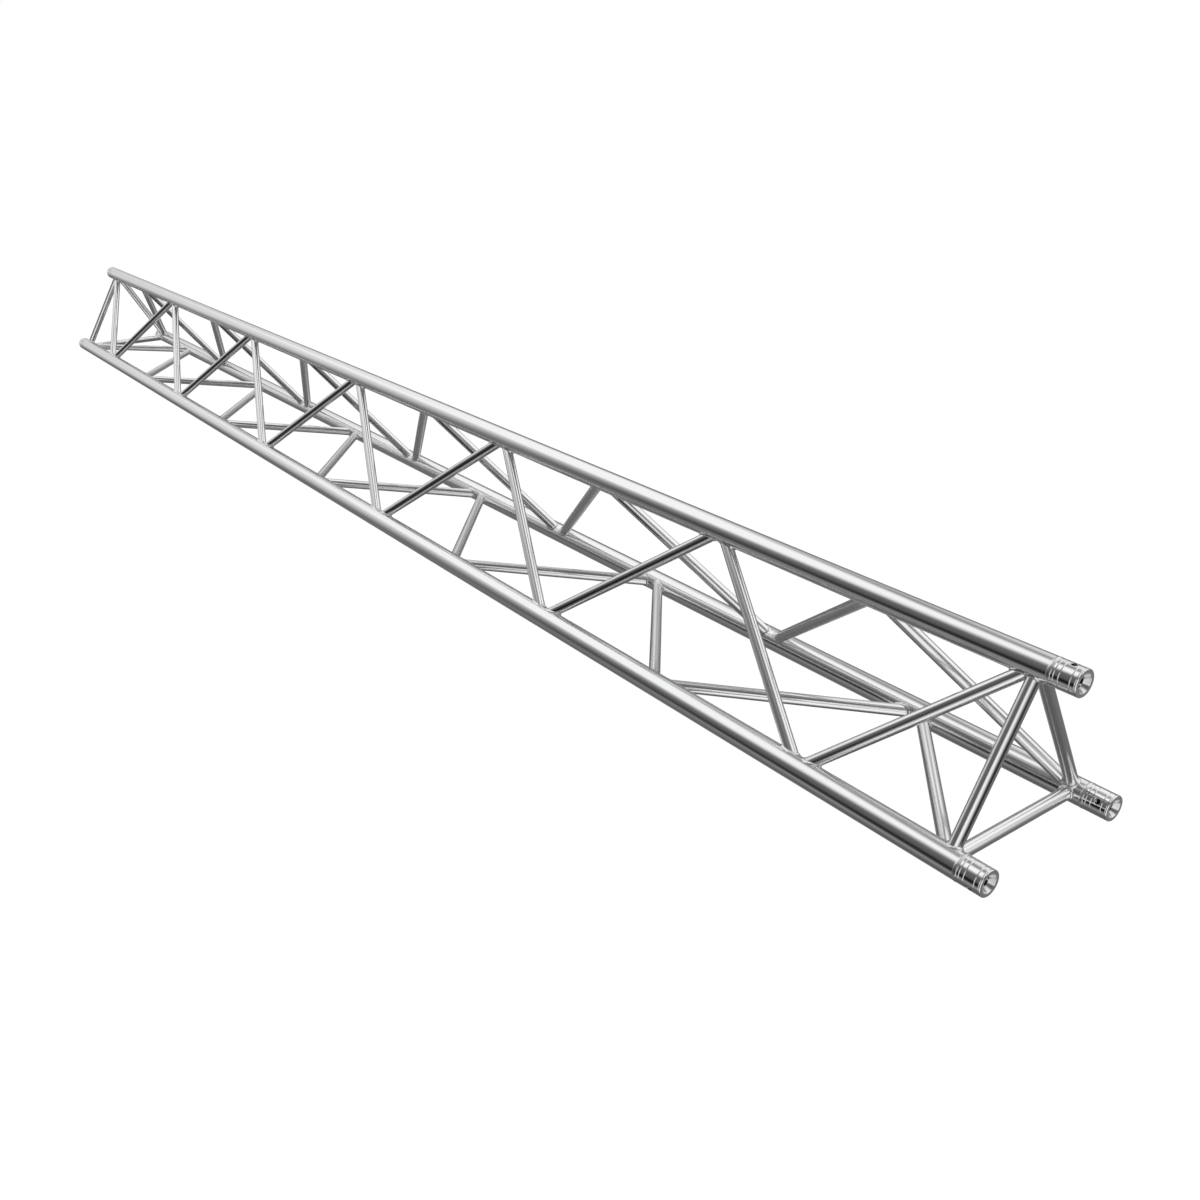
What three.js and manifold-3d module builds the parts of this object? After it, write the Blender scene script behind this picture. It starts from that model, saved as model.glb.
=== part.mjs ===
// A section of triangular lighting truss: three long chords, zigzag bracing on
// the three faces between them, a square end post in every corner of every face,
// and a conical coupler in each end of each chord. All joints are welded.
//
// Millimetres. +X runs along the section, +Z is up. The origin is halfway along,
// on the surface that the two lower chords lie on.

import * as THREE from 'three';
import { mergeVertices } from 'three/addons/utils/BufferGeometryUtils.js';
import Module from 'manifold-3d';

// ---- Driving dimensions ----

const sectionLength = 5000;
const chordSpacing = 350;           // between chord centres, the same on all three faces
const chordRadius = 25;
const chordWall = 3;
const braceRadius = 12.5;
const braceWall = 2;
const bayPitch = 830;               // from one brace node to the next on the same chord
const bayCount = 6;
const endPostInset = 80;            // from the end of the section to the end post's axis
const weldGap = 0.3;                // clearance left between pieces that are welded together

const collarLength = 52;            // the part of a coupler that shows outside the chord
const plugLength = 33;              // the part that is pushed into the chord
const socketMouthRadius = 17.8;
const socketConeDepth = 10.5;       // the mouth's cone, which narrows to the straight bore
const boreRadius = 13.2;            // right through the coupler
const pinHoleRadius = 5.2;
const pinHoleInset = 22.5;          // from the coupler's end face to the pin's axis
const edgeChamfer = 0.7;
const grooveInsets = [3.2, 12.2, 32.5, 41.6, 47.2];
const grooveHalfWidth = 0.5;
const grooveDepth = 0.5;

const chordSides = 40;
const braceSides = 20;
const pinHoleSides = 16;
const vertexMergeDistance = 1e-4;

// ---- Derived places ----

const quarterTurn = Math.PI / 2;
const thirdOfTurn = 2 * Math.PI / 3;
const halfLength = sectionLength / 2;
const endNodeX = halfLength - endPostInset;
const chordTriangleHeight = chordSpacing * Math.sqrt(3) / 2;

// Each chord's centre in the YZ plane, and the turn about X that points its local
// +Z away from the middle of the truss.
const chords = {
  top: { y: 0, z: chordRadius + chordTriangleHeight, turn: 0 },
  front: { y: -chordSpacing / 2, z: chordRadius, turn: thirdOfTurn },
  back: { y: chordSpacing / 2, z: chordRadius, turn: -thirdOfTurn },
};

// The bracing of a face zigzags between its first and its second chord.
const faces = {
  front: { first: chords.top, second: chords.front },
  rear: { first: chords.back, second: chords.top },
  bottom: { first: chords.front, second: chords.back },
};

// Brace nodes on a face's second chord lie midway between the regular nodes of its
// first chord. The outermost nodes of the first chord are pulled in to the end posts.
const secondChordNodes = [];
for (let bay = 0; bay < bayCount; bay += 1) {
  secondChordNodes.push(((bayCount - 1) / 2 - bay) * bayPitch);
}
const firstChordNodes = [endNodeX];
for (let node = 1; node < bayCount; node += 1) {
  firstChordNodes.push((bayCount / 2 - node) * bayPitch);
}
firstChordNodes.push(-endNodeX);

// ---- Materials ----

const chordAluminium = new THREE.MeshStandardMaterial({
  color: 0xb9babc, roughness: 0.28, metalness: 1,
});
const braceAluminium = new THREE.MeshStandardMaterial({
  color: 0xb2b3b5, roughness: 0.32, metalness: 1,
});
const machinedAluminium = new THREE.MeshStandardMaterial({
  color: 0xc4c5c7, roughness: 0.2, metalness: 1,
});

// ---- Solids and cutting ----

const wasm = await Module();
wasm.setup();

function toSolid(geometry) {
  const bare = geometry.clone();
  bare.deleteAttribute('normal');
  bare.deleteAttribute('uv');
  const merged = mergeVertices(bare, vertexMergeDistance);
  const corners = merged.index.array;
  const triangles = [];
  for (let i = 0; i < corners.length; i += 3) {
    const [a, b, c] = corners.slice(i, i + 3);
    if (a !== b && b !== c && c !== a) triangles.push(a, b, c);
  }
  return new wasm.Manifold(new wasm.Mesh({
    numProp: 3,
    vertProperties: merged.attributes.position.array,
    triVerts: new Uint32Array(triangles),
  }));
}

function toGeometry(solid) {
  const mesh = solid.getMesh();
  const geometry = new THREE.BufferGeometry();
  geometry.setAttribute('position', new THREE.BufferAttribute(mesh.vertProperties, 3));
  geometry.setIndex(new THREE.BufferAttribute(mesh.triVerts, 1));
  geometry.computeVertexNormals();
  return geometry;
}

// ---- Round tube along local +Y, from 0 to its length ----

function tubeGeometry(radius, wall, length, sides) {
  const profile = [
    new THREE.Vector2(radius, 0),
    new THREE.Vector2(radius, length),
    new THREE.Vector2(radius - wall, length),
    new THREE.Vector2(radius - wall, 0),
    new THREE.Vector2(radius, 0),
  ];
  return new THREE.LatheGeometry(profile, sides);
}

// ---- Chords ----

function makeChord(name) {
  const tubeLength = sectionLength - 2 * collarLength;
  const geometry = tubeGeometry(chordRadius, chordWall, tubeLength, chordSides);
  const mesh = new THREE.Mesh(geometry, chordAluminium);
  mesh.name = `chord_${name}`;
  mesh.rotation.z = -quarterTurn;
  mesh.position.x = -tubeLength / 2;
  return mesh;
}

// ---- Couplers ----

// Local +Y runs inwards from the end face. The closed profile goes from the bore out
// through the cone of the mouth, over the end face and the collar, and back to the
// bore behind the plug.
function couplerProfile() {
  const shoulder = collarLength - weldGap;
  const plugRadius = chordRadius - chordWall - weldGap;
  const points = [
    [boreRadius, collarLength + plugLength],
    [boreRadius, socketConeDepth],
    [socketMouthRadius, 0],
    [chordRadius - edgeChamfer, 0],
    [chordRadius, edgeChamfer],
  ];
  for (const inset of grooveInsets) {
    points.push([chordRadius, inset - grooveHalfWidth]);
    points.push([chordRadius - grooveDepth, inset]);
    points.push([chordRadius, inset + grooveHalfWidth]);
  }
  points.push([chordRadius, shoulder]);
  points.push([plugRadius, shoulder]);
  points.push([plugRadius, collarLength + plugLength]);
  points.push([boreRadius, collarLength + plugLength]);
  return points.map(([radius, inset]) => new THREE.Vector2(radius, inset));
}

// The pin hole goes through both walls of the bore, along local Z.
function couplerGeometry() {
  const body = toSolid(new THREE.LatheGeometry(couplerProfile(), chordSides));
  const drill = new THREE.CylinderGeometry(
    pinHoleRadius, pinHoleRadius, 3 * chordRadius, pinHoleSides,
  );
  drill.rotateX(quarterTurn);
  drill.translate(0, pinHoleInset, 0);
  return toGeometry(body.subtract(toSolid(drill)));
}

function makeCoupler(name, geometry, end) {
  const mesh = new THREE.Mesh(geometry, machinedAluminium);
  mesh.name = `coupler_${name}_${end.name}`;
  mesh.rotation.z = end.side * quarterTurn;
  mesh.position.x = end.side * halfLength;
  return mesh;
}

// ---- Braces ----

// How far along a line the line leaves a round bar of endless length. A line that
// misses the bar isn't held back by it.
function exitDistance(origin, direction, bar) {
  const offset = origin.clone().sub(bar.point).projectOnPlane(bar.axis);
  const step = direction.clone().projectOnPlane(bar.axis);
  const a = step.lengthSq();
  const b = offset.dot(step);
  const c = offset.lengthSq() - bar.radius ** 2;
  const discriminant = b * b - a * c;
  if (discriminant < 0) return -Infinity;
  return (-b + Math.sqrt(discriminant)) / a;
}

// A chord as a brace end sees it: a bar that the end is coped to fit.
function chordBar(chord) {
  return {
    point: new THREE.Vector3(0, chord.y, chord.z),
    axis: new THREE.Vector3(1, 0, 0),
    radius: chordRadius + weldGap,
  };
}

function nodePoint(chord, x) {
  return new THREE.Vector3(x, chord.y, chord.z);
}

// The two end posts that leave a chord at one end of the section.
function endPostBars(chord, x) {
  const others = Object.values(chords).filter((other) => other !== chord);
  return others.map((other) => ({
    point: nodePoint(chord, x),
    axis: nodePoint(other, x).sub(nodePoint(chord, x)).normalize(),
    radius: braceRadius + weldGap,
  }));
}

// A brace runs from one chord node to another. Each corner of its two ends slides
// along the tube until it is clear of every bar that the end is welded to.
function makeBrace(name, start, end, startBars, endBars) {
  const span = end.clone().sub(start);
  const length = span.length();
  const along = span.clone().normalize();
  const lengthwise = new THREE.Vector3(1, 0, 0);
  const faceNormal = lengthwise.clone()
    .cross(span.clone().projectOnPlane(lengthwise))
    .normalize();
  const placement = new THREE.Matrix4()
    .makeBasis(along.clone().cross(faceNormal), along, faceNormal)
    .setPosition(start);

  const geometry = tubeGeometry(braceRadius, braceWall, length, braceSides);
  const corners = geometry.attributes.position;
  for (let i = 0; i < corners.count; i += 1) {
    const atStart = corners.getY(i) < length / 2;
    const origin = new THREE.Vector3().fromBufferAttribute(corners, i).applyMatrix4(placement);
    const direction = atStart ? along : along.clone().negate();
    const bars = atStart ? startBars : endBars;
    const reach = Math.max(...bars.map((bar) => exitDistance(origin, direction, bar)));
    corners.setY(i, atStart ? reach : length - reach);
  }
  geometry.computeVertexNormals();

  const mesh = new THREE.Mesh(geometry, braceAluminium);
  mesh.name = name;
  mesh.quaternion.setFromRotationMatrix(placement);
  mesh.position.copy(start);
  return mesh;
}

function makeEndPost(faceName, face, end) {
  const x = end.side * endNodeX;
  return makeBrace(
    `${faceName}_end_post_${end.name}`,
    nodePoint(face.first, x),
    nodePoint(face.second, x),
    [chordBar(face.first)],
    [chordBar(face.second)],
  );
}

// The zigzag of one face, numbered from the +X end. Every bay has one diagonal down
// from the first chord and one back up to it.
function makeDiagonals(faceName, face) {
  const diagonals = [];
  for (let bay = 0; bay < bayCount; bay += 1) {
    for (const side of [0, 1]) {
      const firstX = firstChordNodes[bay + side];
      const secondX = secondChordNodes[bay];
      const sharesEndNode = Math.abs(firstX) === endNodeX;
      const posts = sharesEndNode ? endPostBars(face.first, firstX) : [];
      const number = String(diagonals.length + 1).padStart(2, '0');
      diagonals.push(makeBrace(
        `${faceName}_diagonal_${number}`,
        nodePoint(face.first, firstX),
        nodePoint(face.second, secondX),
        [chordBar(face.first), ...posts],
        [chordBar(face.second)],
      ));
    }
  }
  return diagonals;
}

// ---- Assembly ----

const ends = [
  { name: 'a', side: 1 },
  { name: 'b', side: -1 },
];
const truss = new THREE.Group();

const coupler = couplerGeometry();
for (const [name, chord] of Object.entries(chords)) {
  const chordGroup = new THREE.Group();
  chordGroup.position.set(0, chord.y, chord.z);
  chordGroup.rotation.x = chord.turn;
  chordGroup.add(makeChord(name));
  for (const end of ends) chordGroup.add(makeCoupler(name, coupler, end));
  truss.add(chordGroup);
}

for (const [faceName, face] of Object.entries(faces)) {
  const faceGroup = new THREE.Group();
  faceGroup.add(...makeDiagonals(faceName, face));
  for (const end of ends) faceGroup.add(makeEndPost(faceName, face, end));
  truss.add(faceGroup);
}

export default truss;
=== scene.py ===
"""A triangular aluminium lighting truss in a soft white studio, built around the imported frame.

Metres, in the frame's own axes: +X along the truss, +Z up, the floor at z = 0. Every CAD node is a
coarse version of one tube or coupler, and is replaced by a smooth, detailed piece in the same place.
"""

import math

import bpy
import numpy as np
from mathutils import Matrix, Vector


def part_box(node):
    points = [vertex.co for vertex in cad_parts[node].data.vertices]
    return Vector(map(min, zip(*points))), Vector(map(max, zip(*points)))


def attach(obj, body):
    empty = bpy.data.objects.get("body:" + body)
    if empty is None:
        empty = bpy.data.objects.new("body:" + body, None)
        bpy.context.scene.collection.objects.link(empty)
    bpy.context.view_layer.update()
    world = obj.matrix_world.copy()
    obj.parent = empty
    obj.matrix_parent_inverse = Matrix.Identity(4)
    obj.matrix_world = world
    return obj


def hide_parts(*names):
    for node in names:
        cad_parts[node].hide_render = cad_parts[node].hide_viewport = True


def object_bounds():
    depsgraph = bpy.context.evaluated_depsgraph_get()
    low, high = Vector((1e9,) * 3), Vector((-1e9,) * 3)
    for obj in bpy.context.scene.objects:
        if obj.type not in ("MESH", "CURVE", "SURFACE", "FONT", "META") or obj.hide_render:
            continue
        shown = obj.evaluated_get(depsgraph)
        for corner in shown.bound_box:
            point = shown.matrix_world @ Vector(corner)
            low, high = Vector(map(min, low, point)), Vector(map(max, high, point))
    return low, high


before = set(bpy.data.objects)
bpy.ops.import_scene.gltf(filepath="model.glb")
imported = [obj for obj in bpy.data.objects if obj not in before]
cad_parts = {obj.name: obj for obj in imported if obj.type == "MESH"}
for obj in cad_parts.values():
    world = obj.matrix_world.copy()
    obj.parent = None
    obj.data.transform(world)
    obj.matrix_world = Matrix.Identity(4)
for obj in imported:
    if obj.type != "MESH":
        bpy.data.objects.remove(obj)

cad_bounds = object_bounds()

MM = 0.001
TAU = 2 * math.pi
BODY = "root"
random = np.random.default_rng(seed=7)


# ---- Sizes, taken from the frame where it can give them ----

def box_centre(node):
    low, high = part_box(node)
    return (low + high) / 2


def box_size(node):
    low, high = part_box(node)
    return high - low


half_length = cad_bounds[1].x
chord_radius = box_size("chord_top").z / 2
brace_radius = box_size("bottom_end_post_a").x / 2
end_post_x = box_centre("bottom_end_post_a").x
chord_half_length = box_size("chord_top").x / 2
collar_length = half_length - chord_half_length
coupler_length = box_size("coupler_top_a").x

chord_wall = 3 * MM
brace_wall = 2 * MM
bay_pitch = 830 * MM
bay_count = 6

# How many sides the round meshes have, and how many steps a bead takes around a brace.
chord_sides = 128
brace_sides = 64
pin_hole_sides = 64
weld_steps = 168


def chord_centre(name):
    centre = box_centre(f"chord_{name}")
    return np.array([0.0, centre.y, centre.z])


chords = {name: chord_centre(name) for name in ("top", "front", "back")}
truss_centre = sum(chords.values()) / len(chords)

# A face's bracing zigzags from its first chord to its second.
faces = {"front": ("top", "front"), "rear": ("back", "top"), "bottom": ("front", "back")}
ends = {"a": 1, "b": -1}

second_chord_nodes = [((bay_count - 1) / 2 - bay) * bay_pitch for bay in range(bay_count)]
inner_nodes = [(bay_count / 2 - node) * bay_pitch for node in range(1, bay_count)]
first_chord_nodes = [end_post_x, *inner_nodes, -end_post_x]


# ---- Node graph helper ----

class Graph:
    """Short ways to add nodes to a tree. A number, colour or vector is set, and a socket is linked."""

    def __init__(self, tree):
        self.tree = tree
        tree.nodes.clear()

    def node(self, kind, settings=None, **inputs):
        node = self.tree.nodes.new(kind)
        for key, value in (settings or {}).items():
            setattr(node, key, value)
        for key, value in inputs.items():
            self.feed(node.inputs[key.replace("_", " ")], value)
        return node

    def feed(self, socket, value):
        if isinstance(value, bpy.types.NodeSocket):
            self.tree.links.new(value, socket)
        else:
            socket.default_value = value

    def math(self, operation, *values):
        node = self.node("ShaderNodeMath", {"operation": operation})
        for socket, value in zip(node.inputs, values):
            self.feed(socket, value)
        return node.outputs[0]

    def vector_math(self, operation, first, second):
        node = self.node("ShaderNodeVectorMath", {"operation": operation})
        self.feed(node.inputs[0], first)
        self.feed(node.inputs[1], second)
        return node

    def scaled(self, vector, by):
        return self.vector_math("MULTIPLY", vector, by).outputs["Vector"]

    def dot(self, vector, constant):
        return self.vector_math("DOT_PRODUCT", vector, constant).outputs["Value"]

    def noise(self, vector, scale=1.0, detail=2.0, roughness=0.5):
        node = self.node("ShaderNodeTexNoise", Vector=vector, Scale=scale, Detail=detail,
                         Roughness=roughness)
        return node.outputs["Fac"]

    def ranged(self, value, low, high, to_low, to_high, smooth=False):
        kind = "SMOOTHSTEP" if smooth else "LINEAR"
        node = self.node("ShaderNodeMapRange", {"interpolation_type": kind})
        for socket, number in zip(node.inputs, (value, low, high, to_low, to_high)):
            self.feed(socket, number)
        return node.outputs["Result"]


# ---- Materials ----

def grey(level):
    """A grey with a trace of blue in it."""
    return (level, level * 1.002, level * 1.006, 1.0)


def aluminium(name, light, dark, roughness, spread, lines, line_depth, mottle_depth):
    """Bare aluminium. `lines` stretches the surface lines: large numbers across them, small along them.
    Coordinates are the piece's own, in metres, with Z along a tube's or a coupler's axis."""
    material = bpy.data.materials.new(name)
    material.use_nodes = True
    graph = Graph(material.node_tree)
    own = graph.node("ShaderNodeAttribute", {"attribute_name": "own_point"}).outputs["Vector"]

    line_noise = graph.noise(graph.scaled(own, lines), detail=3.0, roughness=0.6)
    cloud = graph.noise(own, scale=9.0, detail=4.0, roughness=0.55)
    mottle = graph.noise(own, scale=260.0, detail=3.0, roughness=0.6)
    patches = graph.noise(own, scale=28.0, detail=5.0, roughness=0.7)

    cloud_share, line_share = 0.6, 0.4
    tone = graph.math("ADD", graph.math("MULTIPLY", cloud, cloud_share),
                      graph.math("MULTIPLY", line_noise, line_share))
    colour = graph.node("ShaderNodeMix", {"data_type": "RGBA"})
    factor, first_colour, second_colour = (colour.inputs[socket] for socket in (0, 6, 7))
    graph.feed(factor, tone)
    graph.feed(first_colour, grey(dark))
    graph.feed(second_colour, grey(light))

    handled_rise = 0.6 * spread
    cloud_swing = 0.4 * spread
    handled = graph.ranged(patches, low=0.52, high=0.72, to_low=0.0, to_high=1.0)
    rough = graph.ranged(line_noise, low=0.25, high=0.75,
                         to_low=roughness - spread, to_high=roughness + spread)
    rough = graph.math("ADD", rough, graph.math("MULTIPLY", handled, handled_rise))
    rough = graph.math("ADD", rough,
                       graph.ranged(cloud, low=0.3, high=0.7, to_low=-cloud_swing, to_high=cloud_swing))

    bump_lines = graph.node("ShaderNodeBump", Strength=1.0, Distance=line_depth, Height=line_noise)
    bump = graph.node("ShaderNodeBump", Strength=1.0, Distance=mottle_depth, Height=mottle,
                      Normal=bump_lines.outputs["Normal"])
    shader = graph.node("ShaderNodeBsdfPrincipled", Metallic=1.0, Roughness=rough,
                        Normal=bump.outputs["Normal"])
    graph.feed(shader.inputs["Base Color"], colour.outputs[2])
    graph.node("ShaderNodeOutputMaterial", Surface=shader.outputs["BSDF"])
    return material


def chord_material():
    return aluminium("chord_aluminium", light=0.90, dark=0.86, roughness=0.18, spread=0.025,
                     lines=(420.0, 420.0, 2.0), line_depth=0.002 * MM, mottle_depth=0.001 * MM)


def brace_material():
    return aluminium("brace_aluminium", light=0.90, dark=0.85, roughness=0.19, spread=0.025,
                     lines=(520.0, 520.0, 3.0), line_depth=0.002 * MM, mottle_depth=0.001 * MM)


def machined_material():
    return aluminium("machined_aluminium", light=0.91, dark=0.87, roughness=0.10, spread=0.015,
                     lines=(4.0, 4.0, 5200.0), line_depth=0.002 * MM, mottle_depth=0.001 * MM)


# Partly a real bored finish, which is rougher, and partly painted shade: the darker colour stands in for the
# shade inside the bore and the socket cone.
def bored_painted_shade_material():
    return aluminium("bored_aluminium_painted_shade", light=0.80, dark=0.72, roughness=0.2, spread=0.04,
                     lines=(4.0, 4.0, 2600.0), line_depth=0.003 * MM, mottle_depth=0.002 * MM)


def faced_material():
    return aluminium("faced_aluminium", light=0.90, dark=0.84, roughness=0.42, spread=0.05,
                     lines=(1600.0, 1600.0, 1600.0), line_depth=0.003 * MM, mottle_depth=0.003 * MM)


def weld_material():
    return aluminium("weld_aluminium", light=0.90, dark=0.80, roughness=0.3, spread=0.06,
                     lines=(500.0, 500.0, 500.0), line_depth=0.02 * MM, mottle_depth=0.02 * MM)


# ---- Mesh helpers ----

def looped_quads(rows, columns, close_rows):
    """Quads over a grid of points whose columns close on themselves, and its rows too if asked."""
    quads = []
    for row in range(rows if close_rows else rows - 1):
        above = (row + 1) % rows
        for column in range(columns):
            beside = (column + 1) % columns
            quads.append((row * columns + column, row * columns + beside,
                          above * columns + beside, above * columns + column))
    return quads


def mesh_from_grid(name, grid, close_rows=True):
    """grid is rows x columns x 3. An open grid's first and last rows are closed with one face each."""
    rows, columns = grid.shape[:2]
    polygons = looped_quads(rows, columns, close_rows)
    if not close_rows:
        polygons.append(tuple(reversed(range(columns))))
        polygons.append(tuple((rows - 1) * columns + column for column in range(columns)))
    mesh = bpy.data.meshes.new(name)
    mesh.from_pydata(grid.reshape(-1, 3).tolist(), [], polygons)
    mesh.validate()
    return mesh


def lathe_grid(profile, sides):
    """Rings about local Z for each (radius, height) of the profile."""
    turn = np.arange(sides) * TAU / sides
    radius, height = np.array(profile).T
    return np.stack([np.outer(radius, np.cos(turn)), np.outer(radius, np.sin(turn)),
                     np.repeat(height[:, None], sides, axis=1)], axis=-1)


def store_own_points(mesh):
    """Keeps each corner's place in the piece's own axes, for the materials' grain."""
    points = np.empty(len(mesh.vertices) * 3, np.float32)
    mesh.vertices.foreach_get("co", points)
    attribute = mesh.attributes.new("own_point", "FLOAT_VECTOR", "POINT")
    attribute.data.foreach_set("vector", points)


def add_piece(name, mesh, materials, placement, stands_for=(), sharp_angle=30.0):
    """A piece of the truss from a mesh in the piece's own axes, placed and smoothed. Edges that turn by more
    than `sharp_angle` degrees stay crisp."""
    store_own_points(mesh)
    mesh.transform(placement)
    mesh.shade_smooth()
    mesh.set_sharp_from_angle(angle=math.radians(sharp_angle))
    for material in materials:
        mesh.materials.append(material)
    piece = bpy.data.objects.new(name, mesh)
    bpy.context.scene.collection.objects.link(piece)
    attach(piece, BODY)
    if stands_for:
        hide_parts(*stands_for)
    return piece


def placed(origin, x_axis, y_axis, z_axis):
    """The placement that takes a mesh's own axes to these."""
    matrix = Matrix.Identity(4)
    for column, values in enumerate((x_axis, y_axis, z_axis, origin)):
        for row in range(3):
            matrix[row][column] = values[row]
    return matrix


def unit(vectors):
    vectors = np.asarray(vectors, float)
    return vectors / np.linalg.norm(vectors, axis=-1, keepdims=True)


# ---- Chords ----

def add_chord(name, material):
    rim = 0.6 * MM
    inner = chord_radius - chord_wall
    reach = chord_half_length
    profile = [
        (inner, -reach),
        (chord_radius - rim, -reach),
        (chord_radius, -reach + rim),
        (chord_radius, reach - rim),
        (chord_radius - rim, reach),
        (inner, reach),
    ]
    mesh = mesh_from_grid(f"chord_tube_{name}", lathe_grid(profile, chord_sides))
    placement = placed(chords[name], (0, 1, 0), (0, 0, 1), (1, 0, 0))
    add_piece(f"chord_tube_{name}", mesh, [material], placement, [f"chord_{name}"])


# ---- Couplers ----

socket_mouth_radius = 17.8 * MM
socket_cone_depth = 10.5 * MM
bore_radius = 13.2 * MM
pin_hole_radius = 5.2 * MM
pin_hole_inset = 22.5 * MM
groove_insets = [3.2 * MM, 12.2 * MM, 32.5 * MM, 41.6 * MM, 47.2 * MM]

# Places in a coupler's list of materials. The first one, 0, is the turned outside.
# The bore and the socket cone get a darker colour, which is painted shade for the inside of the coupler.
PAINTED_SHADE_BORE_FACES = 1
END_FACES = 2


def coupler_profile():
    """(radius, inset) in a closed loop from the bore, out over the end face and back behind the plug."""
    rim_drop = 0.65 * MM
    rim_width = 1.0 * MM
    groove = 0.9 * MM       # deep, and as far to each side
    round_over = 0.12 * MM
    plug_clearance = 0.1 * MM
    plug_chamfer = 2 * MM
    plug_radius = chord_radius - chord_wall - plug_clearance
    profile = [
        (bore_radius, coupler_length),
        (bore_radius, socket_cone_depth + round_over),
        (bore_radius + round_over, socket_cone_depth - round_over),
        (socket_mouth_radius, 0.0),
        (chord_radius - rim_drop, 0.0),
        (chord_radius, rim_width),
    ]
    for inset in groove_insets:
        profile += [
            (chord_radius, inset - groove),
            (chord_radius - groove + round_over, inset - round_over),
            (chord_radius - groove + round_over, inset + round_over),
            (chord_radius, inset + groove),
        ]
    profile += [
        (chord_radius, collar_length),
        (plug_radius, collar_length),
        (plug_radius, coupler_length - plug_chamfer),
        (plug_radius - plug_chamfer, coupler_length),
    ]
    return profile


def pin_cutter():
    """A bar across the coupler, along its local X, that flares where it breaks the outer surface."""
    reach = 1.4 * chord_radius      # well outside the coupler
    flare = 0.5 * MM
    flare_depth = 0.9 * MM
    shoulder = chord_radius - flare_depth
    wide = pin_hole_radius + flare + (reach - chord_radius)
    profile = [
        (wide, -reach),
        (pin_hole_radius, -shoulder),
        (pin_hole_radius, shoulder),
        (wide, reach),
    ]
    mesh = mesh_from_grid("pin_cutter", lathe_grid(profile, pin_hole_sides), close_rows=False)
    turn = Matrix.Rotation(math.radians(90), 4, "Y")
    mesh.transform(Matrix.Translation((0, 0, pin_hole_inset)) @ turn)
    return mesh


def cut(mesh, cutter_mesh):
    """A new mesh with the cutter's solid taken out of it."""
    body = bpy.data.objects.new("cut_body", mesh)
    cutter = bpy.data.objects.new("cut_cutter", cutter_mesh)
    for item in (body, cutter):
        bpy.context.scene.collection.objects.link(item)
    boolean = body.modifiers.new("cut", "BOOLEAN")
    boolean.operation = "DIFFERENCE"
    boolean.solver = "EXACT"
    boolean.object = cutter
    depsgraph = bpy.context.evaluated_depsgraph_get()
    result = bpy.data.meshes.new_from_object(body.evaluated_get(depsgraph))
    for item in (body, cutter):
        bpy.data.objects.remove(item)
    return result


def mark_faces(mesh):
    """Picks the material of the cone and the bore, darker with painted shade, and that of the end face."""
    hair = 0.01 * MM
    for face in mesh.polygons:
        corners = [mesh.vertices[corner].co for corner in face.vertices]
        if max(corner.xy.length for corner in corners) < socket_mouth_radius + hair:
            face.material_index = PAINTED_SHADE_BORE_FACES
        elif max(corner.z for corner in corners) < hair:
            face.material_index = END_FACES


def add_coupler(name, end, shape, materials):
    """The pin runs along local X, which points straight out from the middle of the truss."""
    side = ends[end]
    outward = unit(chords[name] - truss_centre)
    inward = np.array([-side, 0.0, 0.0])
    origin = chords[name] + np.array([side * half_length, 0.0, 0.0])
    placement = placed(origin, outward, np.cross(inward, outward), inward)
    add_piece(f"coupler_turned_{name}_{end}", shape.copy(), materials, placement,
              [f"coupler_{name}_{end}"], sharp_angle=25.0)


# ---- Braces ----

def leave_bars(origins, direction, bars):
    """How far along `direction` each line leaves the bars it starts in, and the outward normal there.
    Each bar is a point, an axis and a radius. Where two bars meet, their normals are blended over a short
    distance."""
    missed = -1.0       # a line that misses a bar isn't held back by it
    distances = []
    normals = []
    for point, axis, radius in bars:
        offset = origins - point
        offset = offset - np.outer(offset @ axis, axis)
        step = direction - (direction @ axis) * axis
        a = step @ step
        b = offset @ step
        c = np.einsum("ij,ij->i", offset, offset) - radius ** 2
        root = np.sqrt(np.maximum(b * b - a * c, 0))
        distance = np.where(b * b >= a * c, (-b + root) / a, missed)
        distances.append(distance)
        normals.append(unit(offset + distance[:, None] * step))
    distances = np.array(distances)
    furthest = distances.max(axis=0)
    blend = 1.2 * MM
    weight = np.exp((distances - furthest) / blend)
    normal = unit(np.einsum("ij,ijk->jk", weight, np.array(normals)))
    return furthest, normal


def chord_bar(name):
    return chords[name], np.array([1.0, 0.0, 0.0]), chord_radius


def end_post_bars(chord, x):
    here = chords[chord] + np.array([x, 0.0, 0.0])
    return [(here, unit(chords[other] - chords[chord]), brace_radius)
            for other in chords if other != chord]


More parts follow.
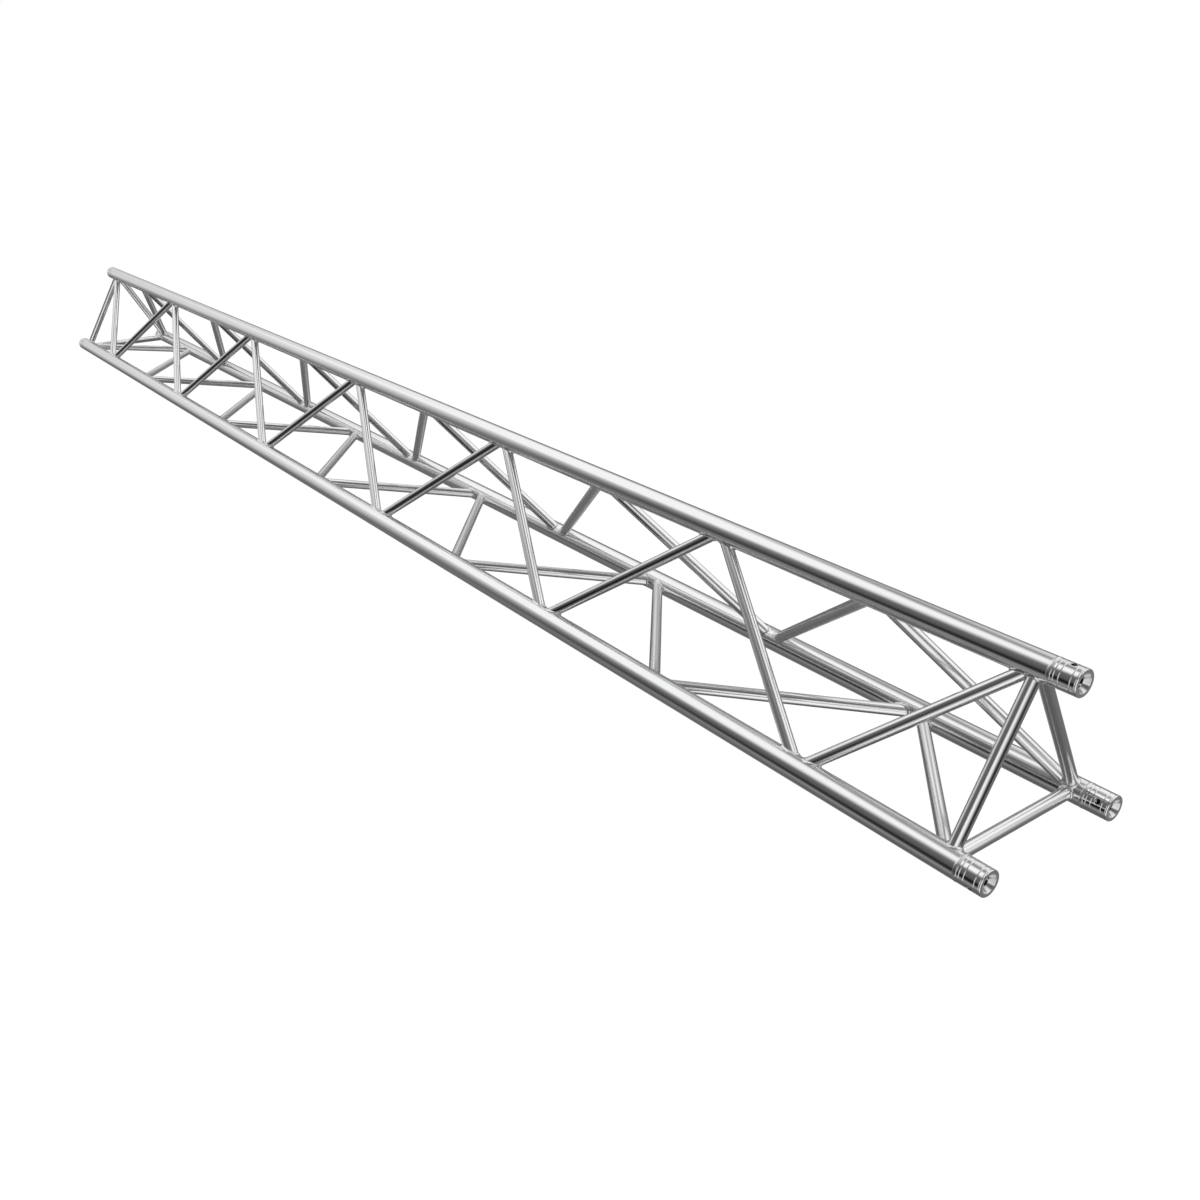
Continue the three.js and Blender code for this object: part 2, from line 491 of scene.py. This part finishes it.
class Brace:
    """A round tube between two chord nodes, with both ends coped to what they are welded to."""

    def __init__(self, name, chord_names, places, bars):
        self.name = name
        self.chord_names = chord_names
        self.start, self.end = (chords[chord] + np.array([x, 0.0, 0.0])
                                for chord, x in zip(chord_names, places))
        self.bars = bars        # those at the start, then those at the end
        self.along = unit(self.end - self.start)
        self.length = np.linalg.norm(self.end - self.start)
        across = unit(chords[chord_names[1]] - chords[chord_names[0]])
        self.normal = np.cross([1.0, 0.0, 0.0], across)
        self.side = np.cross(self.along, self.normal)

    def lines(self, radius, sides, at_start):
        """Lines along the tube's wall at one end: where they start, their direction, the wall's normals."""
        turn = np.arange(sides) * TAU / sides
        wall = np.outer(np.cos(turn), self.side) + np.outer(np.sin(turn), self.normal)
        node = self.start if at_start else self.end
        direction = self.along if at_start else -self.along
        return node + radius * wall, direction, wall

    def end_ring(self, radius, sides, at_start):
        """Heights along the tube, from its start, where its wall at that radius meets the bars."""
        origins, direction, _ = self.lines(radius, sides, at_start)
        reach, _ = leave_bars(origins, direction, self.bars[0 if at_start else 1])
        return reach if at_start else self.length - reach

    def mesh(self):
        turn = np.arange(brace_sides) * TAU / brace_sides
        inner = brace_radius - brace_wall
        rows = [(inner, True), (brace_radius, True), (brace_radius, False), (inner, False)]
        grid = [np.stack([radius * np.cos(turn), radius * np.sin(turn),
                          self.end_ring(radius, brace_sides, at_start)], axis=-1)
                for radius, at_start in rows]
        return mesh_from_grid(self.name, np.array(grid))

    def placement(self):
        return placed(self.start, self.side, self.normal, self.along)


def face_braces(face):
    first, second = faces[face]
    braces = []
    for bay in range(bay_count):
        for step in (0, 1):
            first_x = first_chord_nodes[bay + step]
            shares_post = abs(first_x) == end_post_x
            posts = end_post_bars(first, first_x) if shares_post else []
            braces.append(Brace(f"{face}_diagonal_{len(braces) + 1:02d}", (first, second),
                                (first_x, second_chord_nodes[bay]),
                                ([chord_bar(first), *posts], [chord_bar(second)])))
    for end, side in ends.items():
        x = side * end_post_x
        braces.append(Brace(f"{face}_end_post_{end}", (first, second), (x, x),
                            ([chord_bar(first)], [chord_bar(second)])))
    return braces


def add_brace(brace, material):
    add_piece(f"tube_{brace.name}", brace.mesh(), [material], brace.placement(), [brace.name])


# ---- Weld beads ----

def closed_wobble(steps, waves, size):
    """A smooth closed variation about 0: the sum of waves with random phases, the longest twice around."""
    turn = np.arange(steps) * TAU / steps
    longest = 2
    wobble = np.zeros(steps)
    for wave in range(longest, longest + waves):
        wobble += np.sin(wave * turn + random.uniform(0, TAU))
    return size * wobble / math.sqrt(waves)


def bead_grid(corner, first_way, second_way, first_normal, second_normal, leg, crown, lumps, ripple, pitch):
    """A bead along the closed line `corner`, with a foot `leg` away on each of the two surfaces, a lumpy
    crown between them and crescent ripples about `pitch` apart, stronger in some places than in others."""
    steps = len(corner)
    rows_across = 9
    sink = 0.35 * MM
    root_depth = 0.4
    crescent_depth = 1.6
    bulge = unit(first_normal + second_normal)
    first_foot = corner + leg[:, None] * first_way - sink * first_normal
    second_foot = corner + leg[:, None] * second_way - sink * second_normal
    gaps = np.linalg.norm(np.roll(corner, -1, axis=0) - corner, axis=1)
    travelled = np.cumsum(gaps) - gaps
    ripples = round(gaps.sum() / pitch)
    phase = TAU * ripples * travelled / gaps.sum() + closed_wobble(steps, waves=12, size=0.8)
    strength = ripple * (1 + closed_wobble(steps, waves=12, size=0.5))
    crown = crown * (1 + closed_wobble(steps, waves=14, size=lumps))

    rows = [corner - root_depth * leg[:, None] * bulge]
    for share in np.linspace(0, 1, rows_across):
        arch = math.sin(math.pi * share)
        crescent = crescent_depth * (2 * share - 1) ** 2
        wave = 0.5 + 0.5 * np.cos(phase + crescent)
        height = crown * arch + strength * wave * math.sqrt(arch)
        rows.append(first_foot + share * (second_foot - first_foot) + height[:, None] * bulge)
    return np.array(rows).reshape(len(rows), steps, 3)


def brace_bead(brace, at_start):
    """The bead around one end of a brace."""
    origins, direction, wall = brace.lines(brace_radius, weld_steps, at_start)
    reach, surface = leave_bars(origins, direction, brace.bars[0 if at_start else 1])
    corner = origins + reach[:, None] * direction
    meeting = np.einsum("ij,ij->i", wall, surface)[:, None]
    up_the_tube = unit(surface - meeting * wall)
    off_the_tube = unit(wall - meeting * surface)
    leg = 3.6 * MM * (1 + closed_wobble(weld_steps, waves=9, size=0.08))
    return bead_grid(corner, up_the_tube, off_the_tube, wall, surface, leg,
                     crown=0.75 * MM, lumps=0.16, ripple=0.16 * MM, pitch=2.6 * MM)


def seam_bead(chord, side):
    """The flat, wide bead that closes the joint between a chord and its coupler."""
    steps = 2 * weld_steps
    half_width = 4.4 * MM
    turn = np.arange(steps) * TAU / steps
    wall = np.stack([np.zeros(steps), np.cos(turn), np.sin(turn)], axis=-1)
    lengthwise = np.tile([float(side), 0.0, 0.0], (steps, 1))
    corner = chords[chord] + lengthwise * chord_half_length + chord_radius * wall
    leg = half_width * (1 + closed_wobble(steps, waves=12, size=0.02))
    return bead_grid(corner, lengthwise, -lengthwise, wall, wall, leg,
                     crown=0.75 * MM, lumps=0.05, ripple=0.04 * MM, pitch=3.2 * MM)


def add_welds(chord, braces, material):
    """Every bead on one chord, joined into one mesh."""
    grids = [seam_bead(chord, side) for side in ends.values()]
    for brace in braces:
        for at_start, name in zip((True, False), brace.chord_names):
            if name == chord:
                grids.append(brace_bead(brace, at_start))
    points = []
    quads = []
    for grid in grids:
        first = sum(len(part) for part in points)
        rows, columns = grid.shape[:2]
        points.append(grid.reshape(-1, 3))
        quads += [tuple(first + corner for corner in face) for face in looped_quads(rows, columns, True)]
    mesh = bpy.data.meshes.new(f"welds_{chord}")
    mesh.from_pydata(np.concatenate(points).tolist(), [], quads)
    mesh.validate()
    add_piece(f"weld_beads_{chord}", mesh, [material], Matrix.Identity(4), sharp_angle=70.0)


# ---- Studio ----

# Soft lights far away, seen in the metal: azimuth from +X towards +Y, elevation, roll, half width, half
# height and soft edge, all in degrees, then brightness. A dark panel takes light away. Their names say where
# they hang: close is the camera's end of the truss, +X, and front is its own side, -Y.
soft_lights = {
    "far ceiling, wide": (180, 40, 40, 36, 20, 15, 0.45),
    "far ceiling, long": (-175, 53, -55, 12, 36, 20, 0.45),
    "far wall": (-160, 18, -10, 15, 25, 30, 0.60),
    "back ceiling": (85, 54, 15, 26, 32, 22, 0.85),
    "back ceiling, dim": (90, 60, -55, 50, 22, 20, 0.25),
    "back floor": (125, -15, 5, 30, 45, 15, 0.08),
    "close end, high": (38, 40, -10, 15, 40, 30, 0.95),
    "close end, level": (35, 0, 0, 55, 15, 25, 0.15),
    "close front, slanted": (-40, 10, -60, 22, 15, 25, 0.75),
    "front strip": (-60, 13, 10, 12, 15, 10, 0.65),
    "front floor": (-58, -25, 20, 15, 25, 20, 0.70),
    "front floor, dim": (-50, -35, 55, 40, 15, 10, 0.20),
    "far front floor": (-125, -37, 30, 5, 15, 35, 0.40),
    "dark panel, far front": (-110, -25, 15, 25, 20, 25, -0.15),
    "dark panel, close end": (-10, -3, -20, 34, 10, 20, -0.25),
}
# The room between the lights: brightness at elevations in degrees.
room_tones = [(-60, 0.10), (-30, 0.15), (0, 0.08), (30, 0.11), (60, 0.10), (85, 0.01)]
darkest = 0.01
brightest = 0.905
# The brightnesses above are the ones seen in the metal, which reflects about this share of the light.
reflected_share = 0.88


def add_soft_light(graph, direction, azimuth, elevation, roll, half_width, half_height, edge, brightness):
    """A rectangle of light with a soft edge, on the sky. Returns its brightness in each direction."""
    azimuth, elevation = math.radians(azimuth), math.radians(elevation)
    forward = Vector((math.cos(elevation) * math.cos(azimuth), math.cos(elevation) * math.sin(azimuth),
                      math.sin(elevation)))
    right = Vector((-math.sin(azimuth), math.cos(azimuth), 0.0))
    right.rotate(Matrix.Rotation(math.radians(roll), 3, forward))
    up = forward.cross(right)
    along = graph.math("ARCTAN2", graph.dot(direction, right), graph.dot(direction, forward))
    above = graph.math("ARCSINE", graph.dot(direction, up))
    light = brightness
    for angle, half in ((along, half_width), (above, half_height)):
        inner, outer = (math.radians(half + shift) for shift in (-edge / 2, edge / 2))
        off_centre = graph.math("ABSOLUTE", angle)
        window = graph.ranged(off_centre, inner, outer, to_low=1.0, to_high=0.0, smooth=True)
        light = graph.math("MULTIPLY", window, light)
    return light


def make_world():
    """A sky of room tones and soft lights, which lights the metal and is what it reflects."""
    world = bpy.data.worlds.new("studio")
    world.use_nodes = True
    graph = Graph(world.node_tree)
    direction = graph.node("ShaderNodeTexCoord").outputs["Generated"]
    height = graph.math("ARCSINE", graph.dot(direction, (0.0, 0.0, 1.0)))
    level = graph.ranged(height, -math.pi / 2, math.pi / 2, to_low=0.0, to_high=1.0)
    ramp = graph.node("ShaderNodeValToRGB", Fac=level)
    stops = ramp.color_ramp.elements
    while len(stops) < len(room_tones):
        stops.new(0.5)
    for stop, (elevation, tone) in zip(stops, room_tones):
        stop.position = (elevation + 90) / 180
        stop.color = (tone, tone, tone, 1.0)
    light = ramp.outputs["Color"]
    for soft_light in soft_lights.values():
        light = graph.math("ADD", light, add_soft_light(graph, direction, *soft_light))
    light = graph.math("MINIMUM", graph.math("MAXIMUM", light, darkest), brightest)
    background = graph.node("ShaderNodeBackground", Color=light, Strength=1 / reflected_share)
    graph.node("ShaderNodeOutputWorld", Surface=background.outputs["Background"])
    bpy.context.scene.world = world


def plain_white(name, level, glow):
    """A dull surface that glows white. `level` is the share of the light on it that it also sends back."""
    material = bpy.data.materials.new(name)
    material.use_nodes = True
    graph = Graph(material.node_tree)
    shader = graph.node("ShaderNodeBsdfPrincipled", Roughness=0.9)
    shader.inputs["Base Color"].default_value = grey(level)
    shader.inputs["Specular IOR Level"].default_value = 0.0
    shader.inputs["Emission Color"].default_value = (1.0, 1.0, 1.0, 1.0)
    shader.inputs["Emission Strength"].default_value = glow
    graph.node("ShaderNodeOutputMaterial", Surface=shader.outputs["BSDF"])
    return material


def add_stage(name, mesh, material, unseen_by):
    """A surface around the truss. Rays of the kinds in `unseen_by` pass through it."""
    mesh.materials.append(material)
    item = bpy.data.objects.new(name, mesh)
    bpy.context.scene.collection.objects.link(item)
    for kind in unseen_by:
        setattr(item, f"visible_{kind}", False)


def make_floor():
    """A glowing white floor, which the metal doesn't reflect."""
    reach = 45.0
    corners = [(-reach, -reach, 0.0), (reach, -reach, 0.0), (reach, reach, 0.0), (-reach, reach, 0.0)]
    mesh = bpy.data.meshes.new("floor")
    mesh.from_pydata(corners, [], [(0, 1, 2, 3)])
    add_stage("floor", mesh, plain_white("floor_white", level=0.05, glow=1.0), ["glossy"])


def make_backdrop():
    """A white dome that only the camera sees, so that the studio's lights shine through it."""
    radius = 80.0
    dome_rings = 24
    dome_sides = 64
    angles = np.linspace(-0.2, 1.5, dome_rings)
    profile = [(radius * math.cos(angle), radius * math.sin(angle)) for angle in angles]
    mesh = mesh_from_grid("backdrop", lathe_grid(profile, dome_sides), close_rows=False)
    add_stage("backdrop", mesh, plain_white("backdrop_white", level=0.0, glow=1.0),
              ["glossy", "diffuse", "transmission", "volume_scatter", "shadow"])


def make_camera():
    """Beyond end a and above it, on the front side, looking back along the truss."""
    place = (3.3721, -1.6004, 1.2159)
    turn = (65.83, 0.021, 53.131)
    camera = bpy.data.cameras.new("camera")
    camera.sensor_width = 36
    camera.lens = 36.035
    camera.clip_end = 400
    item = bpy.data.objects.new("camera", camera)
    item.location = place
    item.rotation_euler = [math.radians(angle) for angle in turn]
    bpy.context.scene.collection.objects.link(item)
    bpy.context.scene.camera = item


# ---- Assembly ----

make_camera()
make_world()
make_floor()
make_backdrop()
bpy.context.scene.view_settings.view_transform = "Standard"

chord_metal = chord_material()
brace_metal = brace_material()
coupler_metals = [machined_material(), bored_painted_shade_material(), faced_material()]
weld_metal = weld_material()

turned_body = mesh_from_grid("coupler_body", lathe_grid(coupler_profile(), chord_sides))
coupler_shape = cut(turned_body, pin_cutter())
coupler_shape.materials.clear()
mark_faces(coupler_shape)
braces = [brace for face in faces for brace in face_braces(face)]

for name in chords:
    add_chord(name, chord_metal)
    for end in ends:
        add_coupler(name, end, coupler_shape, coupler_metals)
for brace in braces:
    add_brace(brace, brace_metal)
for name in chords:
    add_welds(name, braces, weld_metal)

bpy.context.view_layer.update()
